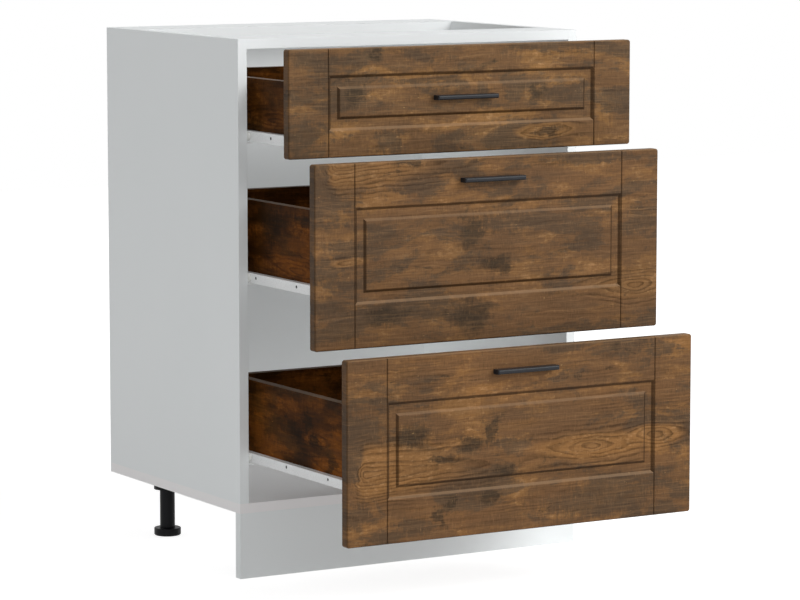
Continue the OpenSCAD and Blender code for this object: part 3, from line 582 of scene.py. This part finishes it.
def place_copies(name, shape, places, body, material):
    """One object with a copy of shape at each place: (point, the way its head faces, turn about that)."""
    verts, faces = shape
    mesh = bpy.data.meshes.new(name)
    build = bmesh.new()
    for point, way, turn in places:
        placing = Matrix.Translation(point) @ Vector(way).to_track_quat("Z", "Y").to_matrix().to_4x4()
        placing = placing @ Matrix.Rotation(turn, 4, "Z")
        made = [build.verts.new(placing @ Vector(v)) for v in verts]
        for face in faces:
            build.faces.new([made[n] for n in face])
    bmesh.ops.recalc_face_normals(build, faces=build.faces)
    build.to_mesh(mesh)
    build.free()
    mesh.shade_smooth()
    mesh.set_sharp_from_angle(angle=math.radians(40))
    mesh.materials.append(material)
    piece = bpy.data.objects.new(name, mesh)
    bpy.context.scene.collection.objects.link(piece)
    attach(piece, body)


def make_hardware():
    """The small screws and nails in the drawer profiles, the legs, the plinth clips and the back panel."""
    zinc = plain_finish("zinc_screws", ZINC, (0.24, 0.40), 1400, 0.20, metallic=1.0, vary=0.10)
    pan = screw_head(radius=3.4 * MM, height=1.6 * MM, shank_radius=1.6 * MM, shank=1.2 * MM)

    # Three screws go up through the flange of each drawer profile
    for drawer in DRAWERS:
        places = []
        for side in SIDES:
            low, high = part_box(f"{drawer}_{side}_drawer_profile")
            x = high.x - FLANGE_SCREW_IN if side == "left" else low.x + FLANGE_SCREW_IN
            for n, y in enumerate(FLANGE_SCREW_Y):
                places.append(((x, low.y + y, low.z), (0, 0, -1), 0.4 + n))
        place_copies(f"{drawer}_profile_screws", pan, places, f"{drawer}_drawer", zinc)

    # Three screws hold each drawer profile to the drawer's side, in the holes of its web; their black is
    # painted shade that makes the holes dark
    paint = plain_finish("hole_shade_black_screws", BLACK_PAINT, (0.30, 0.42), 1400, 0.15, specular=0.20)
    flat = screw_head(radius=2.35 * MM, height=1.4 * MM, shank_radius=1.2 * MM, shank=1.0 * MM)
    for drawer in DRAWERS:
        places = []
        for side, way in (("left", -1), ("right", 1)):
            low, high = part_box(f"{drawer}_{side}_drawer_side")
            x = low.x if side == "left" else high.x
            low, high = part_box(f"{drawer}_{side}_drawer_profile")
            for n, y in enumerate(WEB_HOLE_Y):
                places.append(((x, low.y + y, low.z + WEB_HOLE_Z), (way, 0, 0), 0.9 + n))
        place_copies(f"{drawer}_profile_side_screws", flat, places, f"{drawer}_drawer", paint)

    # Four screws hold each leg's flange
    round_head = screw_head(radius=3.6 * MM, height=1.7 * MM, shank_radius=2.0 * MM, shank=3 * MM)
    low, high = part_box("leg_sockets")
    leg_x = (low.x + FLANGE_HALF, high.x - FLANGE_HALF)
    leg_y = (low.y + FLANGE_HALF, high.y - FLANGE_HALF)
    places = []
    for x in leg_x:
        for y in leg_y:
            for n in range(4):
                a = math.radians(45 + 90 * n)
                out_x, out_y = FLANGE_SCREW_R * math.cos(a), FLANGE_SCREW_R * math.sin(a)
                places.append(((x + out_x, y + out_y, high.z - FLANGE_T), (0, 0, -1), 0.7 * n))
    place_copies("leg_screws", round_head, places, "carcass", zinc)

    # Two screws hold each plinth clip
    low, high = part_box("plinth_clips")
    z = (low.z + high.z) / 2
    places = []
    for x in leg_x:
        for side in (-1, 1):
            point = (x + side * CLIP_SCREW_X, low.y + CLIP_T, z)
            places.append((point, (0, 1, 0), 0.5 + 16 * side))
    place_copies("clip_screws", round_head, places, "carcass", zinc)

    # Nails round the rim of the back panel
    low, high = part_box("back_panel")
    ends_x = (low.x + NAIL_RIM, high.x - NAIL_RIM)
    ends_z = (low.z + NAIL_RIM, high.z - NAIL_RIM)
    places = []
    for n in range(NAIL_GAPS_UP + 1):
        z = ends_z[0] + (ends_z[1] - ends_z[0]) * n / NAIL_GAPS_UP
        places += [((x, high.y, z), (0, 1, 0), n) for x in ends_x]
    for n in range(1, NAIL_GAPS_ACROSS):
        x = ends_x[0] + (ends_x[1] - ends_x[0]) * n / NAIL_GAPS_ACROSS
        places += [((x, high.y, z), (0, 1, 0), n) for z in ends_z]
    nail = screw_head(radius=2.9 * MM, height=0.5 * MM, shank_radius=0.8 * MM, shank=2.5 * MM, recess=False)
    place_copies("back_panel_nails", nail, places, "carcass", zinc)


def make_floor():
    """A floor that looks white and keeps a soft shadow."""
    half = FLOOR_HALF
    mesh = bpy.data.meshes.new("floor")
    mesh.from_pydata(
        [(-half, -half, 0), (half, -half, 0), (half, half, 0), (-half, half, 0)],
        [],
        [(0, 1, 2, 3)],
    )
    floor = bpy.data.objects.new("floor", mesh)
    floor.location.z = -FLOOR_GAP
    bpy.context.scene.collection.objects.link(floor)

    s = Shader("floor")
    s.finish(FLOOR_WHITE, 0.9, specular=0.0)
    tree = s.tree
    path = tree.nodes.new("ShaderNodeLightPath")
    seen = s.math("MAXIMUM", path.outputs["Is Camera Ray"], path.outputs["Is Glossy Ray"])
    seen = s.math("MAXIMUM", seen, path.outputs["Is Transmission Ray"])
    glow = tree.nodes.new("ShaderNodeEmission")
    away = s.step(s.vector("LENGTH", s.position), GLOW_NEAR_END, GLOW_FAR_START, GLOW_NEAR, GLOW_FAR)
    s.put(glow.inputs["Strength"], s.math("MULTIPLY", seen, away))
    add = tree.nodes.new("ShaderNodeAddShader")
    s.put(add.inputs[0], s.bsdf.outputs[0])
    s.put(add.inputs[1], glow.outputs[0])
    s.put(tree.nodes["Material Output"].inputs["Surface"], add.outputs[0])
    floor.data.materials.append(s.material)


def make_world():
    """A weak white world that looks white to the camera and in reflections."""
    world = bpy.data.worlds.new("world")
    bpy.context.scene.world = world
    world.use_nodes = True
    tree = world.node_tree
    background = tree.nodes["Background"]
    background.inputs["Color"].default_value = (1, 1, 1, 1)
    path = tree.nodes.new("ShaderNodeLightPath")
    seen = tree.nodes.new("ShaderNodeMath")
    seen.operation = "MAXIMUM"
    tree.links.new(path.outputs["Is Camera Ray"], seen.inputs[0])
    tree.links.new(path.outputs["Is Glossy Ray"], seen.inputs[1])
    strength = tree.nodes.new("ShaderNodeMapRange")
    strength.inputs["To Min"].default_value = WORLD_LIGHT
    strength.inputs["To Max"].default_value = 1.0
    tree.links.new(seen.outputs[0], strength.inputs["Value"])
    tree.links.new(strength.outputs[0], background.inputs["Strength"])


def area_light(name, place, target, size, power):
    data = bpy.data.lights.new(name, "AREA")
    data.shape = "DISK"
    data.size = size
    data.energy = power
    light = bpy.data.objects.new(name, data)
    light.location = place
    light.rotation_euler = (Vector(target) - Vector(place)).to_track_quat("-Z", "Y").to_euler()
    bpy.context.scene.collection.objects.link(light)


def ambient_light(name, source, strength):
    """Weak even light from one side that reaches into the cabinet: it casts no shadow and no highlight."""
    data = bpy.data.lights.new(name, "SUN")
    data.energy = strength
    data.angle = 0.0
    data.use_shadow = False
    light = bpy.data.objects.new(name, data)
    light.rotation_euler = Vector(source).to_track_quat("Z", "Y").to_euler()
    light.visible_glossy = False
    bpy.context.scene.collection.objects.link(light)


def make_lights():
    """A large soft lamp from the right and above, a weak low one from the front, and three ambient lights."""
    area_light("key", (2.4, -3.3, 3.1), target=(0, 0, 0.4), size=3.6, power=164)
    area_light("front_right", (1.4, -4.4, 0.9), target=(0, 0, 0.35), size=3.0, power=20)
    ambient_light("ambient_front", (-0.5, -0.86, 0.1), strength=0.62)
    ambient_light("ambient_top", (-0.3, -0.2, 0.93), strength=0.49)
    ambient_light("ambient_left", (-1.0, 0.0, 0.1), strength=0.25)


def make_camera():
    """The photograph's view, fitted to the object's corners: an unshifted camera about 5.6 m away."""
    data = bpy.data.cameras.new("camera")
    data.sensor_width = 36
    data.lens = 161.98
    camera = bpy.data.objects.new("camera", data)
    camera.location = (-2.8028, -4.78665, 1.0776)
    camera.rotation_euler = (math.radians(90 - 6.9545), 0, math.radians(-30.446))
    bpy.context.scene.collection.objects.link(camera)
    bpy.context.scene.camera = camera


dress_nodes()
make_hardware()
make_floor()
make_world()
make_lights()
make_camera()
bpy.context.scene.view_settings.view_transform = "Standard"
